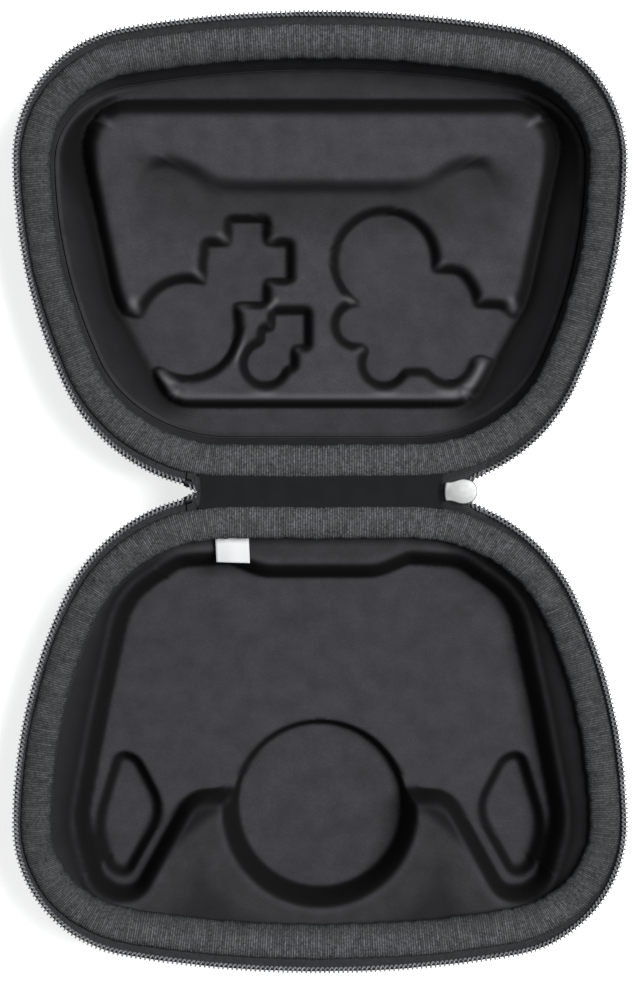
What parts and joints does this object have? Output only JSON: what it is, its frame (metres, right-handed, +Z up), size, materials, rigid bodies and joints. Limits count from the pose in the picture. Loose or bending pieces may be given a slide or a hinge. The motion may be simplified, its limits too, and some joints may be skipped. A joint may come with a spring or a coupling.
{
  "type": "controller carrying case",
  "caption": "Hard-shell carrying case for a game pad, open flat on its two halves, with a nested base, a padded lid, a fabric hinge and a zipper round the rim.",
  "frame": {"origin": "on the table under the middle of the hinge line, at the centre of the bounding box's bottom", "axes": "+X along the hinge to the slider's end, +Y from the base half to the lid half, +Z up out of the open halves"},
  "size_m": [0.1868, 0.2918, 0.0421],
  "materials": {
    "shell_fabric": "woven nylon over heat-formed foam",
    "lining": "brushed knit",
    "binding": "ribbed grosgrain",
    "zipper_tape": "fine twill",
    "zipper_teeth": "satin",
    "hinge_fabric": "plain woven",
    "label": "satin woven, blank",
    "slider_metal": "nickel plated, satin"
  },
  "bodies": {
    "base": {"base_shell": "shell_fabric", "base_binding": "binding", "base_liner": "lining", "base_zipper_tape": "zipper_tape", "base_zipper_teeth": "zipper_teeth", "base_top_stop": "slider_metal", "woven_label": "label", "hinge_strip_inner": "hinge_fabric", "hinge_strip_outer": "hinge_fabric"},
    "lid": {"lid_shell": "shell_fabric", "lid_binding": "binding", "lid_liner": "lining", "lid_zipper_tape": "zipper_tape", "lid_zipper_teeth": "zipper_teeth", "lid_top_stop": "slider_metal"},
    "slider": {"slider_body": "slider_metal", "zipper_end": "zipper_tape"},
    "pull": {"pull_tab": "slider_metal"}
  },
  "joints": [
    {"name": "lid_hinge", "type": "hinge", "parent": "base", "child": "lid", "pos_m": [0, 0, 0.04], "axis": [1, 0, 0], "range_deg": [0, 180], "deforming": ["hinge_strip_inner", "hinge_strip_outer"]},
    {"name": "slider_swing", "type": "hinge", "parent": "base", "child": "slider", "pos_m": [0, 0, 0.04], "axis": [1, 0, 0], "range_deg": [0, 90]},
    {"name": "pull_tab_swing", "type": "hinge", "parent": "slider", "child": "pull", "pos_m": [0.0421, 0, 0.03725], "axis": [0, 1, 0], "range_deg": [-80, 80]}
  ],
  "couplings": [
    {"joint": "slider_swing", "follows": "lid_hinge", "ratio": 0.5}
  ]
}
